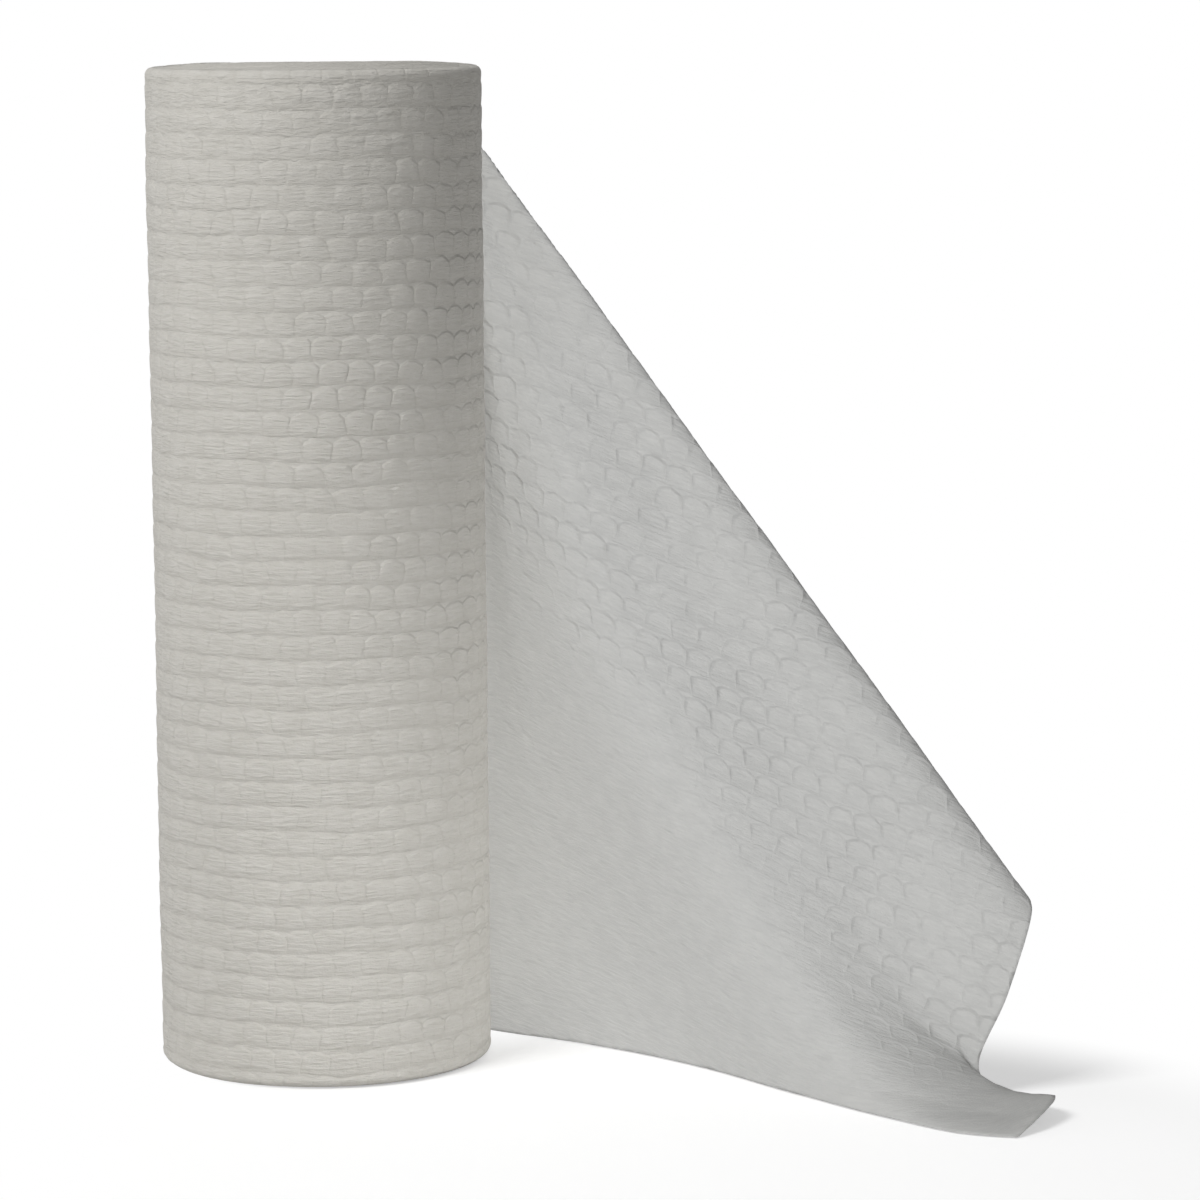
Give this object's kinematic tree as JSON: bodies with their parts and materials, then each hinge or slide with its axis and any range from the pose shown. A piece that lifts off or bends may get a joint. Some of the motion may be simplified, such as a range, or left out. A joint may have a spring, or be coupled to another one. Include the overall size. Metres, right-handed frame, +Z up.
{
  "type": "kitchen cloth roll",
  "caption": "Standing roll of embossed kitchen cloth on a cardboard core, with its loose end unwound, folded over at a slant and its lower corner laid on the surface.",
  "frame": {"origin": "on the roll's axis, in the plane of its lower end", "axes": "+Z up the roll's axis; the picture is taken from -Y, and the loose end lies towards +X"},
  "size_m": [0.2157, 0.1468, 0.25],
  "materials": {
    "cloth": "matte",
    "core": "matte"
  },
  "bodies": {
    "root": {"cloth": "cloth", "cardboard_core": "core"}
  },
  "joints": []
}
